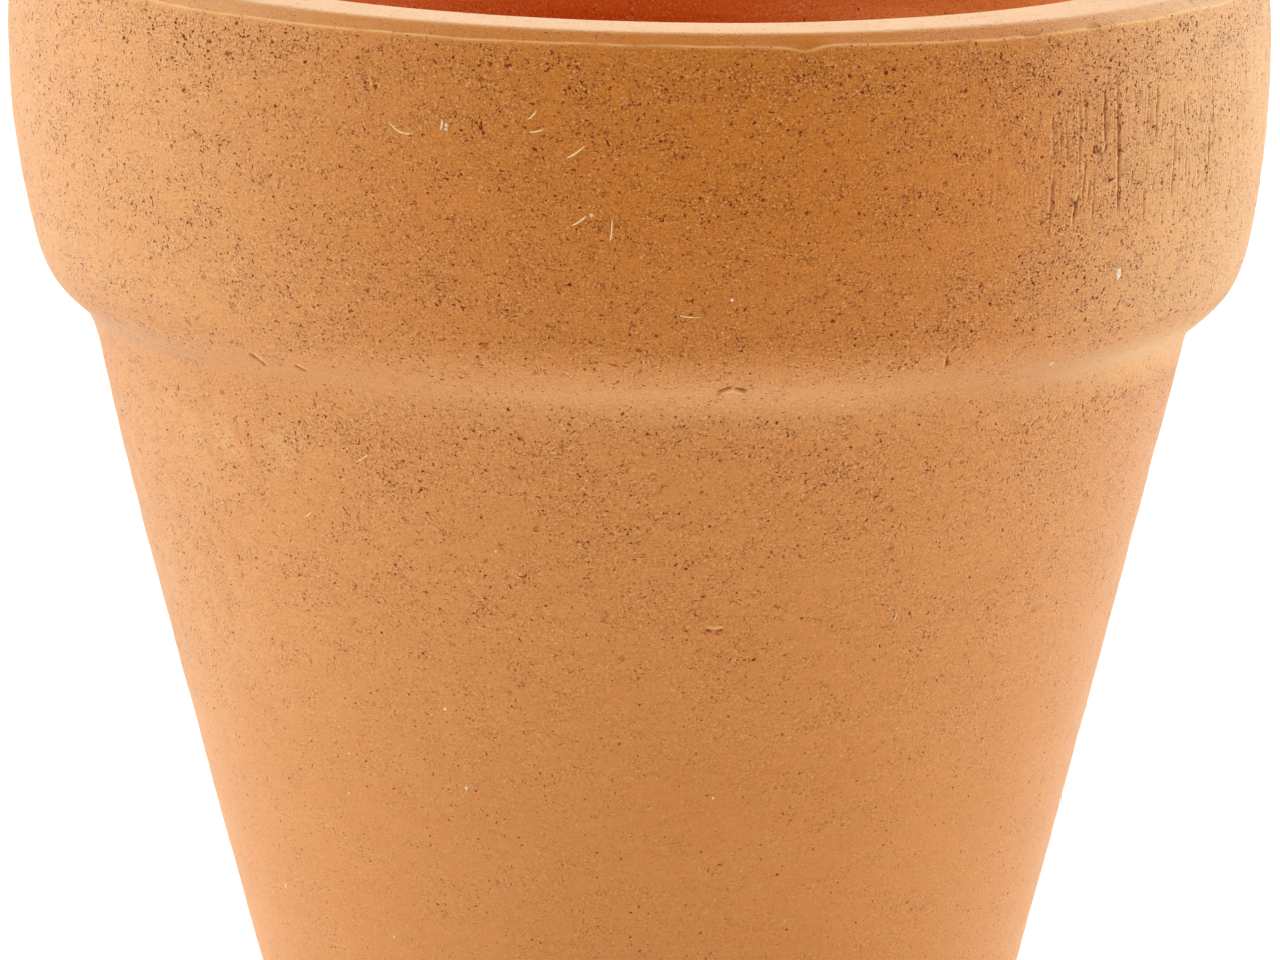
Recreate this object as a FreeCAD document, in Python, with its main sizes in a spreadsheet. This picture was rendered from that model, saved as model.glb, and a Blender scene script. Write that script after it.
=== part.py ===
import FreeCAD, Part

import math
import os

import Sketcher

# A terracotta flower pot: one piece of fired clay, turned about the vertical axis.
# A thick collar stands out round the mouth, over a body that tapers to a flat base
# with one drain hole. Millimetres, +Z up, origin at the centre of the base.

# Driving dimensions, one spreadsheet row each: alias, value, what it is.
DIMENSIONS = [
    ("height", 98.0, "base to lip"),
    ("rim_radius", 55.0, "collar at its widest"),
    ("mouth_radius", 45.7, "inner edge of the lip"),
    ("lip_outer_radius", 53.2, "outer edge of the flat lip"),
    ("bevel_drop", 1.0, "height of the bevel outside the lip"),
    ("crown_drop", 8.0, "lip down to the widest ring of the collar"),
    ("face_curve", 80.0, "radius of the collar's bulging face"),
    ("corner_curve", 7.2, "radius of the collar's lower corner"),
    ("underside_slope", 37.0, "degrees that the collar's underside falls inwards"),
    ("crease_radius", 47.9, "ring where the collar meets the body"),
    ("crease_drop", 33.3, "lip down to that ring"),
    ("crease_fillet", 2.4, "round in the crease"),
    ("base_radius", 31.1, "body at the base"),
    ("body_curve", 2200.0, "radius of the body's faint outward bow"),
    ("base_edge_fillet", 1.4, "round at the outer edge of the base"),
    ("floor_thickness", 8.0, "clay under the soil"),
    ("floor_radius", 27.6, "inner wall where it meets the floor"),
    ("floor_fillet", 6.0, "round between floor and inner wall"),
    ("mouth_fillet", 1.2, "round at the inner edge of the lip"),
    ("drain_radius", 6.5, "drain hole"),
    ("drain_edge", 0.7, "round at both ends of the drain hole"),
]


def make_sheet(doc):
    """Puts the driving dimensions in a spreadsheet, one aliased cell each."""
    sheet = doc.addObject("Spreadsheet::Sheet", "dims")
    for row, (alias, value, meaning) in enumerate(DIMENSIONS, start=1):
        sheet.set(f"A{row}", meaning)
        sheet.set(f"B{row}", str(value))
        sheet.setAlias(f"B{row}", alias)
    doc.recompute()
    return sheet


def origin_plane(body, role):
    """Returns the body's own origin plane with that role."""
    for feature in body.Origin.OriginFeatures:
        if feature.Role == role:
            return feature
    raise ValueError(role)


def new_sketch(body, name, role):
    """Returns an empty sketch on one of the body's origin planes."""
    sketch = body.newObject("Sketcher::SketchObject", name)
    sketch.AttachmentSupport = [(origin_plane(body, role), "")]
    sketch.MapMode = "FlatFace"
    return sketch


def point(across, up):
    return FreeCAD.Vector(across, up, 0)


def add_line(sketch, start, end):
    return sketch.addGeometry(Part.LineSegment(start, end), False)


def add_arc(sketch, start, middle, end):
    """Adds an arc through three points and says which of its ends is the start."""
    index = sketch.addGeometry(Part.Arc(start, middle, end), False)
    first = sketch.Geometry[index].StartPoint
    forward = (first - start).Length < (first - end).Length
    return index, (1 if forward else 2), (2 if forward else 1)


def bind(sketch, name, expression, *constraint):
    """Adds a dimension to the sketch and drives it from the spreadsheet."""
    index = sketch.addConstraint(Sketcher.Constraint(*constraint))
    sketch.renameConstraint(index, name)
    sketch.setExpression(f"Constraints.{name}", expression)


def relate(sketch, *constraint):
    sketch.addConstraint(Sketcher.Constraint(*constraint))


def collar_corner(dims):
    """Where the collar's lower corner starts on the underside, turns and meets the face.

    The corner is a circle tangent to the sloping underside and, from inside, to the
    larger circle of the collar's face.
    """
    slope = math.radians(dims.underside_slope)
    along = point(math.cos(slope), math.sin(slope))
    outward = point(math.sin(slope), -math.cos(slope))
    crease = point(dims.crease_radius, dims.height - dims.crease_drop)
    face_centre = point(dims.rim_radius - dims.face_curve, dims.height - dims.crown_drop)

    reach = dims.face_curve - dims.corner_curve
    start = crease - outward * dims.corner_curve - face_centre
    half = start.dot(along)
    distance = -half + math.sqrt(half ** 2 - start.dot(start) + reach ** 2)
    centre = face_centre + start + along * distance

    radial = (centre - face_centre).normalize()
    middle = (outward + radial).normalize()
    return [centre + arm * dims.corner_curve for arm in (outward, middle, radial)]


def outer_outline(sketch, dims):
    """Half outline of the pot: base, body, crease, collar and lip, closed on the axis."""
    top = dims.height
    crease_up = top - dims.crease_drop
    face_rise = dims.crown_drop - dims.bevel_drop
    face_out = math.sqrt(dims.face_curve ** 2 - face_rise ** 2)
    shoulder, corner_middle, corner_top = collar_corner(dims)
    face_middle = point(dims.rim_radius, top - dims.crown_drop)
    bevel_low = point(dims.rim_radius - dims.face_curve + face_out, top - dims.bevel_drop)
    lip_edge = point(dims.lip_outer_radius, top)
    base_edge = point(dims.base_radius, 0)
    crease = point(dims.crease_radius, crease_up)
    wall = crease - base_edge
    sideways = point(wall.y, -wall.x).normalize()
    bow = base_edge + wall * 0.5 + sideways * (wall.Length ** 2 / (8 * dims.body_curve))

    base = add_line(sketch, point(0, 0), base_edge)
    body, body_low, body_high = add_arc(sketch, base_edge, bow, crease)
    underside = add_line(sketch, crease, shoulder)
    corner, corner_start, corner_end = add_arc(sketch, shoulder, corner_middle, corner_top)
    face, face_start, face_end = add_arc(sketch, corner_top, face_middle, bevel_low)
    bevel = add_line(sketch, bevel_low, lip_edge)
    lip = add_line(sketch, lip_edge, point(0, top))
    axis = add_line(sketch, point(0, top), point(0, 0))

    relate(sketch, "Coincident", base, 1, -1, 1)
    relate(sketch, "Coincident", base, 2, body, body_low)
    relate(sketch, "Coincident", body, body_high, underside, 1)
    relate(sketch, "Tangent", underside, 2, corner, corner_start)
    relate(sketch, "Tangent", corner, corner_end, face, face_start)
    relate(sketch, "Coincident", face, face_end, bevel, 1)
    relate(sketch, "Coincident", bevel, 2, lip, 1)
    relate(sketch, "Coincident", lip, 2, axis, 1)
    relate(sketch, "Coincident", axis, 2, base, 1)
    relate(sketch, "Horizontal", base)
    relate(sketch, "Horizontal", lip)
    relate(sketch, "Vertical", axis)

    bind(sketch, "baseRadius", "dims.base_radius", "DistanceX", -1, 1, base, 2, dims.base_radius)
    bind(sketch, "topHeight", "dims.height", "DistanceY", -1, 1, lip, 2, top)
    bind(sketch, "lipRadius", "dims.lip_outer_radius", "DistanceX", -1, 1, lip, 1,
         dims.lip_outer_radius)
    bind(sketch, "creaseRadius", "dims.crease_radius", "DistanceX", -1, 1, underside, 1,
         dims.crease_radius)
    bind(sketch, "creaseHeight", "dims.height - dims.crease_drop", "DistanceY", -1, 1,
         underside, 1, crease_up)
    bind(sketch, "bodyCurve", "dims.body_curve", "Radius", body, dims.body_curve)
    bind(sketch, "cornerCurve", "dims.corner_curve", "Radius", corner, dims.corner_curve)
    bind(sketch, "faceCurve", "dims.face_curve", "Radius", face, dims.face_curve)
    bind(sketch, "crownHeight", "dims.height - dims.crown_drop", "DistanceY", -1, 1, face, 3,
         top - dims.crown_drop)
    bind(sketch, "crownRadius", "dims.face_curve - dims.rim_radius", "DistanceX", face, 3, -1, 1,
         dims.face_curve - dims.rim_radius)
    bind(sketch, "bevelHeight", "dims.height - dims.bevel_drop", "DistanceY", -1, 1, bevel, 1,
         top - dims.bevel_drop)
    bind(sketch, "undersideSlope", "dims.underside_slope * 1 deg", "Angle", underside,
         math.radians(dims.underside_slope))


def inner_outline(sketch, dims):
    """Half outline of the hollow: flat floor and straight tapering wall."""
    top = dims.height
    floor = dims.floor_thickness
    corners = [
        point(0, floor),
        point(dims.floor_radius, floor),
        point(dims.mouth_radius, top),
        point(0, top),
    ]
    edges = [add_line(sketch, corners[k], corners[(k + 1) % 4]) for k in range(4)]
    for k in range(4):
        relate(sketch, "Coincident", edges[k], 2, edges[(k + 1) % 4], 1)
    relate(sketch, "Horizontal", edges[0])
    relate(sketch, "Horizontal", edges[2])
    relate(sketch, "PointOnObject", edges[0], 1, -2)
    relate(sketch, "Vertical", edges[3])
    bind(sketch, "floorHeight", "dims.floor_thickness", "DistanceY", -1, 1, edges[0], 1, floor)
    bind(sketch, "floorRadius", "dims.floor_radius", "DistanceX", -1, 1, edges[0], 2,
         dims.floor_radius)
    bind(sketch, "mouthHeight", "dims.height", "DistanceY", -1, 1, edges[2], 1, top)
    bind(sketch, "mouthRadius", "dims.mouth_radius", "DistanceX", -1, 1, edges[2], 1,
         dims.mouth_radius)


def ring_edge(shape, radius, up):
    """Names the circular edge of that radius at that height."""
    for index, edge in enumerate(shape.Edges, start=1):
        curve = edge.Curve
        if not isinstance(curve, Part.Circle) or not edge.isClosed():
            continue
        if abs(curve.Radius - radius) < 0.01 and abs(curve.Center.z - up) < 0.01:
            return f"Edge{index}"
    raise ValueError(f"no ring of radius {radius} at height {up}")


def round_rings(body, name, alias, rings):
    """Fillets the circular edges given as (radius, height) pairs."""
    previous = body.Tip
    fillet = body.newObject("PartDesign::Fillet", name)
    fillet.Base = (previous, [ring_edge(previous.Shape, radius, up) for radius, up in rings])
    fillet.setExpression("Radius", f"dims.{alias}")
    body.Tip = fillet
    body.Document.recompute()


def expect_cut(before, feature, least):
    """Stops if a cut took away less clay than it should have."""
    removed = before - feature.Shape.Volume
    if removed < least:
        raise ValueError(f"{feature.Label} removed only {removed:.1f} mm3")


def make_pot(doc, dims):
    """The whole pot: turned solid, turned hollow, drain hole and rounded edges."""
    body = doc.addObject("PartDesign::Body", "pot")
    body.Label = "pot"
    body.Placement = FreeCAD.Placement()

    outline = new_sketch(body, "outer_outline", "XZ_Plane")
    outer_outline(outline, dims)
    turned = body.newObject("PartDesign::Revolution", "turned_clay")
    turned.Profile = outline
    turned.ReferenceAxis = (outline, ["V_Axis"])
    turned.Angle = 360
    body.Tip = turned
    doc.recompute()

    hollow_outline = new_sketch(body, "inner_outline", "XZ_Plane")
    inner_outline(hollow_outline, dims)
    hollow = body.newObject("PartDesign::Groove", "soil_space")
    hollow.Profile = hollow_outline
    hollow.ReferenceAxis = (hollow_outline, ["V_Axis"])
    hollow.Angle = 360
    body.Tip = hollow
    doc.recompute()
    depth = dims.height - dims.floor_thickness
    expect_cut(turned.Shape.Volume, hollow, math.pi * dims.floor_radius ** 2 * depth)

    hole_outline = new_sketch(body, "drain_outline", "XY_Plane")
    circle = hole_outline.addGeometry(Part.Circle(point(0, 0), point(0, 0) + FreeCAD.Vector(0, 0, 1),
                                                  dims.drain_radius), False)
    relate(hole_outline, "Coincident", circle, 3, -1, 1)
    bind(hole_outline, "drainRadius", "dims.drain_radius", "Radius", circle, dims.drain_radius)
    hole = body.newObject("PartDesign::Pocket", "drain_hole")
    hole.Profile = hole_outline
    hole.Reversed = True
    hole.Type = "Length"
    hole.setExpression("Length", "dims.floor_thickness")
    body.Tip = hole
    doc.recompute()
    hole_volume = math.pi * dims.drain_radius ** 2 * dims.floor_thickness
    expect_cut(hollow.Shape.Volume, hole, 0.99 * hole_volume)

    floor = dims.floor_thickness
    crease_up = dims.height - dims.crease_drop
    round_rings(body, "crease_round", "crease_fillet", [(dims.crease_radius, crease_up)])
    round_rings(body, "base_round", "base_edge_fillet", [(dims.base_radius, 0)])
    round_rings(body, "floor_round", "floor_fillet", [(dims.floor_radius, floor)])
    round_rings(body, "mouth_round", "mouth_fillet", [(dims.mouth_radius, dims.height)])
    round_rings(body, "drain_round", "drain_edge",
                [(dims.drain_radius, 0), (dims.drain_radius, floor)])
    return body


def check_document(doc):
    """Stops on any object that did not recompute cleanly."""
    for item in doc.Objects:
        if "Invalid" in item.State or "Error" in item.State:
            raise ValueError(f"{item.Label} is {item.State}")


def check_solid(item):
    """Stops unless the sub-part is one valid solid."""
    shape = item.Shape
    if shape.isNull() or not shape.isValid() or len(shape.Solids) != 1:
        raise ValueError(f"{item.Label} is not one valid solid")


def main():
    doc = FreeCAD.newDocument("terracotta_pot")
    dims = make_sheet(doc)
    subparts = [make_pot(doc, dims)]
    doc.recompute()
    check_document(doc)
    os.makedirs("parts", exist_ok=True)
    for item in subparts:
        check_solid(item)
    for item in subparts:
        item.Shape.exportStep(f"parts/{item.Label}.step")
        box = item.Shape.optimalBoundingBox()
        print(f"{item.Label}: {item.Shape.Volume / 1000:.1f} cm3, "
              f"{box.XLength:.2f} x {box.YLength:.2f} x {box.ZLength:.2f} mm")


main()
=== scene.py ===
import math

import bpy
import numpy as np
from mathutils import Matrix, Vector


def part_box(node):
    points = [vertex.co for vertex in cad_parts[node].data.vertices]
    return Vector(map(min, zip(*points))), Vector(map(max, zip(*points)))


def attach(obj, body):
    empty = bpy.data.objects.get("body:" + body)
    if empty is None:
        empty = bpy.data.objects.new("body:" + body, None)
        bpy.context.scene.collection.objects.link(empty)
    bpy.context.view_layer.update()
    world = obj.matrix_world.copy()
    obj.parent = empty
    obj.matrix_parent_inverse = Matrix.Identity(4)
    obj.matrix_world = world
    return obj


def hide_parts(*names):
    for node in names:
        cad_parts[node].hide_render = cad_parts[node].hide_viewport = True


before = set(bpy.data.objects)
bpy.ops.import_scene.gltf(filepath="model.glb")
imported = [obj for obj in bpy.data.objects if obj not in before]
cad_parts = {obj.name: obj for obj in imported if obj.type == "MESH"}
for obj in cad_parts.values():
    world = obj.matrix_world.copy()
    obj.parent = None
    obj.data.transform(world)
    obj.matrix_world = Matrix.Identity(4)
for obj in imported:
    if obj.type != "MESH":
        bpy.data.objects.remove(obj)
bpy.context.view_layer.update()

MM = 0.001
TAU = 2 * math.pi

# --- The pot's outline, in millimetres, as in the CAD model -----------------------------------
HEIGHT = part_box("pot")[1].z / MM
RIM_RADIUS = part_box("pot")[1].x / MM
MOUTH_RADIUS = 45.7
LIP_OUTER_RADIUS = 53.2
BEVEL_DROP = 1.0
CROWN_DROP = 8.0
FACE_CURVE = 80.0
CORNER_CURVE = 7.2
UNDERSIDE_SLOPE = math.radians(37)
CREASE_RADIUS = 47.9
CREASE_DROP = 33.3
BASE_RADIUS = 31.1
BODY_CURVE = 2200.0
FLOOR_THICKNESS = 8.0
FLOOR_RADIUS = 27.6
FLOOR_CURVE = 6.0
DRAIN_RADIUS = 6.5

# --- How this pot came out of the kiln: the clay's own unevenness -----------------------------
LIP_TILT = math.radians(1.5)        # the rim is out of level, higher towards -X
CREASE_TILT = math.radians(1.15)
SEED = 41
CHIP_SEED = SEED + 20
BITS_SEED = SEED + 30
NOISE_COUNT = 8
CHIP_COUNT = 12
SCUFF_COUNT = 34
DRAG_LINE_COUNT = 46
STRAW_COUNT = 26
LIME_COUNT = 34

# --- The mesh's cells, in millimetres: along the outline by stretch, then round the pot -------
ROW_STEP = {
    "base": 1.2, "body": 0.45, "underside": 0.35, "corner": 0.38, "face": 0.38, "bevel": 0.17,
    "lip": 0.3, "inside": 0.9, "bowl": 0.8, "floor": 1.0, "hole": 0.6,
}
EDGE_STEP = 0.28
FRONT_CELL = 0.42
BACK_CELL = 0.85
FINE_CELL = 0.15
COMBED_CELL = 0.14
BEVEL_CELL = 0.08
CELL_GROWTH = 0.4       # how much larger cells get with each millimetre away from a fine spot
AZIMUTH_STEPS = 14400   # places round the pot at which the cells' width is worked out

# The right of the collar was dragged while soft: combed upright, between these azimuths.
COMBED = (math.radians(33), math.radians(76))


def arc_points(centre, radius, start, end, step):
    """Points along a circular arc between two angles."""
    count = max(2, int(abs(end - start) * radius / step))
    angles = np.linspace(start, end, count)
    return np.column_stack([centre[0] + radius * np.cos(angles), centre[1] + radius * np.sin(angles)])


def line_points(start, end, step):
    """Points along a straight line."""
    start, end = np.array(start, float), np.array(end, float)
    count = max(2, int(np.linalg.norm(end - start) / step))
    return start + (end - start) * np.linspace(0, 1, count)[:, None]


def bowed_points(start, end, radius, step):
    """Points along a shallow arc that bulges to the right of the way from start to end."""
    start, end = np.array(start, float), np.array(end, float)
    chord = end - start
    length = np.linalg.norm(chord)
    across = np.array([chord[1], -chord[0]]) / length
    centre = (start + end) / 2 - across * math.sqrt(radius ** 2 - length ** 2 / 4)
    first, last = start - centre, end - centre
    return arc_points(centre, radius, math.atan2(first[1], first[0]), math.atan2(last[1], last[0]),
                      step)


def collar_corner():
    """The collar's lower corner, an arc that touches the underside and the face.

    Returns its centre, the direction out of the underside, and the centre of the face's arc.
    """
    along = np.array([math.cos(UNDERSIDE_SLOPE), math.sin(UNDERSIDE_SLOPE)])
    outward = np.array([math.sin(UNDERSIDE_SLOPE), -math.cos(UNDERSIDE_SLOPE)])
    crease = np.array([CREASE_RADIUS, HEIGHT - CREASE_DROP])
    face_centre = np.array([RIM_RADIUS - FACE_CURVE, HEIGHT - CROWN_DROP])
    start = crease - outward * CORNER_CURVE - face_centre
    half = start @ along
    distance = -half + math.sqrt(half ** 2 - start @ start + (FACE_CURVE - CORNER_CURVE) ** 2)
    return face_centre + start + along * distance, outward, face_centre


def smoothed(points, reach, step):
    """A closed line of points, softened over about that reach."""
    width = max(1, int(3 * reach / step))
    offsets = np.arange(-width, width + 1)
    weights = np.exp(-0.5 * (offsets * step / reach) ** 2)
    weights /= weights.sum()
    result = np.zeros_like(points)
    for offset, weight in zip(offsets, weights):
        result += weight * np.roll(points, -offset, axis=0)
    return result


def pot_outline(step):
    """The closed outline of the clay's cross-section, evenly spaced, starting at the drain hole.

    It runs along the base, up the outside, over the lip, down the inside and back through
    the hole. Returns the places along it, its points and where each stretch starts.
    """
    centre, outward, face_centre = collar_corner()
    radial = (centre - face_centre) / np.linalg.norm(centre - face_centre)
    crease = (CREASE_RADIUS, HEIGHT - CREASE_DROP)
    shoulder = centre + outward * CORNER_CURVE
    rise = CROWN_DROP - BEVEL_DROP
    corner = arc_points(centre, CORNER_CURVE, math.atan2(outward[1], outward[0]),
                        math.atan2(radial[1], radial[0]), step)
    face = arc_points(face_centre, FACE_CURVE, math.atan2(radial[1], radial[0]),
                      math.asin(rise / FACE_CURVE), step)
    taper = math.atan2(MOUTH_RADIUS - FLOOR_RADIUS, HEIGHT - FLOOR_THICKNESS)
    tangent = FLOOR_CURVE * math.tan((math.pi / 2 - taper) / 2)
    bowl_centre = (FLOOR_RADIUS - tangent, FLOOR_THICKNESS + FLOOR_CURVE)
    bowl = arc_points(bowl_centre, FLOOR_CURVE, -taper, -math.pi / 2, step)
    runs = {
        "base": line_points((DRAIN_RADIUS, 0), (BASE_RADIUS, 0), step),
        "body": bowed_points((BASE_RADIUS, 0), crease, BODY_CURVE, step),
        "underside": line_points(crease, shoulder, step),
        "corner": corner,
        "face": face,
        "bevel": line_points(face[-1], (LIP_OUTER_RADIUS, HEIGHT), step),
        "lip": line_points((LIP_OUTER_RADIUS, HEIGHT), (MOUTH_RADIUS, HEIGHT), step),
        "inside": line_points((MOUTH_RADIUS, HEIGHT), bowl[0], step),
        "bowl": bowl,
        "floor": line_points(bowl[-1], (DRAIN_RADIUS, FLOOR_THICKNESS), step),
        "hole": line_points((DRAIN_RADIUS, FLOOR_THICKNESS), (DRAIN_RADIUS, 0), step),
    }
    points = np.vstack([run[:-1] for run in runs.values()])
    lengths = np.linalg.norm(np.roll(points, -1, axis=0) - points, axis=1)
    along = np.concatenate([[0], np.cumsum(lengths)])
    starts, count = {}, 0
    for name, run in runs.items():
        starts[name] = along[count]
        count += len(run) - 1
    starts["end"] = along[-1]
    even = np.arange(0, along[-1], step)
    loop = np.vstack([points, points[:1]])
    line = np.column_stack([np.interp(even, along, loop[:, k]) for k in (0, 1)])
    return even, line, starts


def bump(at, centre, reach):
    """A smooth hump, 1 at the centre."""
    return np.exp(-0.5 * ((at - centre) / reach) ** 2)


def ramp(at, low, high):
    """0 below low, 1 above high, smooth between."""
    share = np.clip((at - low) / (high - low), 0, 1)
    return share * share * (3 - 2 * share)


def band(at, low, high, soft):
    """1 between low and high, fading over soft on either side."""
    return ramp(at, low - soft, low + soft) * (1 - ramp(at, high - soft, high + soft))


def turn_from(angles, azimuth):
    """How far round the pot each angle is from an azimuth, between -pi and pi."""
    return (angles - azimuth + math.pi) % TAU - math.pi


class Noise:
    """Seeded smooth noise in space, between -1 and 1."""

    SIDE = 48

    def __init__(self, seed):
        random = np.random.default_rng(seed)
        self.values = random.random((self.SIDE,) * 3, dtype=np.float32) * 2 - 1

    def __call__(self, points, *cell):
        at = points / np.array(cell) + 7.3
        base = np.floor(at).astype(int)
        part = at - base
        part = part * part * (3 - 2 * part)
        total = 0
        for corner in np.ndindex(2, 2, 2):
            weight = np.prod(np.where(corner, part, 1 - part), axis=-1)
            index = (base + corner) % self.SIDE
            total = total + weight * self.values[index[..., 0], index[..., 1], index[..., 2]]
        return total


class Groove:
    """A scratch, crack or nick: azimuth and heading in degrees, lengths in millimetres.

    Its heading is 0 along the rim and 90 upright. Its middle bows to the left by bend, and
    burr is the height of the clay pushed up on its left.
    """

    def __init__(self, azimuth, height, length, heading, width, depth, bend, burr):
        self.azimuth = math.radians(azimuth)
        self.height = height
        self.length = length
        self.heading = math.radians(heading)
        self.width = width
        self.depth = depth
        self.bend = bend
        self.burr = burr

    def spread(self):
        """Its half size round the pot and up it."""
        half = self.length / 2
        return (abs(math.cos(self.heading)) * half + 0.4, abs(math.sin(self.heading)) * half + 0.4)


# Marks that stand out on this pot, seen from the front: a split in two parts on the underside of
# the collar, a nick on the body, a gouge in two parts under the collar and a slit. Then, in the
# combed area, a tick, the longest drag lines and a hooked line.
MARKS = [
    Groove(8.4, 66.2, 1.5, 216, 0.22, 0.3, -0.1, 0.08),
    Groove(9.9, 66.2, 1.3, 148, 0.2, 0.3, -0.1, 0.08),
    Groove(8.6, 43.6, 1.7, -4, 0.16, 0.22, -0.12, 0.08),
    Groove(-41.0, 66.4, 2.0, -62, 0.3, 0.26, 0.15, 0.1),
    Groove(-35.7, 66.2, 1.2, -45, 0.2, 0.18, -0.1, 0.05),
    Groove(30.7, 68.1, 1.0, 104, 0.14, 0.22, 0.0, 0.04),
    Groove(45.8, 86.1, 1.8, -40, 0.13, 0.2, 0.0, 0.06),
    Groove(46.6, 86.1, 1.4, 65, 0.13, 0.2, 0.0, 0.06),
    Groove(46.6, 89.1, 5.2, 92, 0.13, 0.18, 0.1, 0.08),
    Groove(48.6, 86.1, 12.6, 94, 0.15, 0.26, 0.12, 0.1),
    Groove(54.0, 88.8, 4.9, 88, 0.13, 0.2, 0.0, 0.08),
    Groove(63.6, 83.6, 6.2, 92, 0.14, 0.22, -0.1, 0.08),
    Groove(57.2, 84.0, 7.5, 91, 0.11, 0.1, 0.1, 0.05),
    Groove(40.0, 85.5, 9.0, 91, 0.09, 0.03, 0.1, 0.0),
    Groove(43.0, 81.8, 1.4, -50, 0.15, 0.24, 0.0, 0.06),
    Groove(43.4, 81.2, 3.0, 78, 0.15, 0.24, 0.15, 0.06),
]
PLAIN_MARKS = 6     # the rest lie in the combed area, where the cells are fine anyway


def scuffs():
    """Small dents in a row that climbs to the right, where something rubbed below the collar."""
    random = np.random.default_rng(SEED)
    start, end = 45, 63
    dents = []
    for azimuth in np.linspace(start, end, SCUFF_COUNT):
        height = 60.1 + 0.1 * (azimuth - start) + random.uniform(-0.7, 0.7)
        dents.append(Groove(azimuth, height, random.uniform(0.25, 0.6), random.uniform(20, 150),
                            random.uniform(0.1, 0.16), random.uniform(0.05, 0.11), 0.0, 0.03))
    return dents


def drag_lines():
    """Short upright lines scattered over the combed part of the collar."""
    random = np.random.default_rng(SEED)
    lines = []
    for _ in range(DRAG_LINE_COUNT):
        azimuth = random.uniform(37, 74)
        height = random.uniform(80, 91)
        length = random.uniform(0.8, 4.5)
        width = random.uniform(0.08, 0.12)
        lines.append(Groove(azimuth, height, length, random.uniform(86, 95), width,
                            random.uniform(0.03, 0.09), random.uniform(-0.05, 0.05), 0.04))
    return lines


class Surface:
    """The pot's skin as a grid: rows follow the outline, columns go round the pot."""

    STEP = 0.05

    def __init__(self):
        self.even, line, self.starts = pot_outline(self.STEP)
        self.crisp = smoothed(line, 0.25, self.STEP)
        self.soft = smoothed(line, 1.3, self.STEP)
        outside = (self.even > self.starts["body"]) & (self.even < self.starts["bevel"])
        self.outside = self.even[outside], line[outside, 1]
        self.rows = self.row_places()
        self.angles = self.column_angles()
        self.shape()

    def place_at(self, height):
        """Place along the outline of a height on the outside."""
        return np.interp(height, self.outside[1], self.outside[0])

    def row_places(self):
        """Places along the outline, closer at its corners and beside the marks."""
        names = list(ROW_STEP)
        ends = names[1:] + ["end"]
        middles = [(self.starts[name] + self.starts[end]) / 2 for name, end in zip(names, ends)]
        corners = [self.starts[name] for name in names]
        at = np.array(middles + corners)
        size = np.array([ROW_STEP[name] for name in names] + [EDGE_STEP] * len(names))
        order = np.argsort(at)
        spacing = np.interp(self.even, at[order], size[order])
        for mark in MARKS[:PLAIN_MARKS] + scuffs()[::5]:
            away = np.abs(self.even - self.place_at(mark.height)) - mark.spread()[1]
            spacing = np.minimum(spacing, FINE_CELL + CELL_GROWTH * np.maximum(away, 0))
        from_bevel = np.abs(self.even - self.starts["bevel"])
        spacing = np.minimum(spacing, BEVEL_CELL + CELL_GROWTH * from_bevel)
        progress = np.cumsum(self.STEP / spacing)
        return np.interp(np.arange(int(progress[-1])), progress - progress[0], self.even)

    def column_angles(self):
        """Azimuths, 0 at the front (-Y) and growing towards +X, closer at the front."""
        dense = np.linspace(-math.pi, math.pi, AZIMUTH_STEPS, endpoint=False)
        share = ramp(np.abs(dense), math.radians(75), math.radians(110))
        spacing = FRONT_CELL + (BACK_CELL - FRONT_CELL) * share
        combed = band(dense, *COMBED, math.radians(2))
        spacing = spacing + (COMBED_CELL - spacing) * combed
        for mark in MARKS[:PLAIN_MARKS]:
            away = np.abs(dense - mark.azimuth) * RIM_RADIUS - mark.spread()[0]
            spacing = np.minimum(spacing, FINE_CELL + CELL_GROWTH * np.maximum(away, 0))
        progress = np.cumsum((TAU / len(dense)) * RIM_RADIUS / spacing)
        count = int(progress[-1])
        return np.interp(np.arange(count) * progress[-1] / count, progress - progress[0], dense)

    def both_outlines(self, coordinate):
        """One coordinate of the crisp outline and of the soft one, at the rows."""
        crisp = np.interp(self.rows, self.even, self.crisp[:, coordinate])
        soft = np.interp(self.rows, self.even, self.soft[:, coordinate])
        return crisp[:, None], soft[:, None]

    def shape(self):
        """Sets each point's radius and height, and the ways out of the outline and round the pot.

        The collar's corners are softer on one side of the pot than on the other.
        """
        rows, angles = self.rows[:, None], self.angles[None, :]
        starts = self.starts
        crease, face = starts["underside"], starts["face"]
        near_crease = ramp(rows, crease - 9, crease - 4) * (1 - ramp(rows, face, face + 6))
        leftness = 0.75 - 0.25 * np.sin(angles) + 0.12 * np.sin(3 * angles + 1)
        softness = near_crease * np.clip(leftness, 0, 1)
        softness = np.maximum(softness, bump(rows, starts["body"], 1.5))
        softness = np.maximum(softness, 0.6 * bump(rows, starts["inside"], 1.5))
        crisp_radius, soft_radius = self.both_outlines(0)
        crisp_height, soft_height = self.both_outlines(1)
        self.radius = crisp_radius + (soft_radius - crisp_radius) * softness
        self.height = crisp_height + (soft_height - crisp_height) * softness
        slope = np.gradient(self.crisp, axis=0)
        slope /= np.linalg.norm(slope, axis=1)[:, None]
        self.out = np.interp(self.rows, self.even, slope[:, 1])[:, None]
        self.up = np.interp(self.rows, self.even, -slope[:, 0])[:, None]
        self.ray = np.stack([np.sin(self.angles), -np.cos(self.angles)], axis=-1)

    def points(self, relief=0.0):
        """The grid's points in space with a relief raised on it."""
        radius = self.radius + relief * self.out
        height = self.height + relief * self.up
        flat = radius[..., None] * self.ray[None]
        return np.concatenate([flat, (height + 0 * radius)[..., None]], axis=-1)


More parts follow.
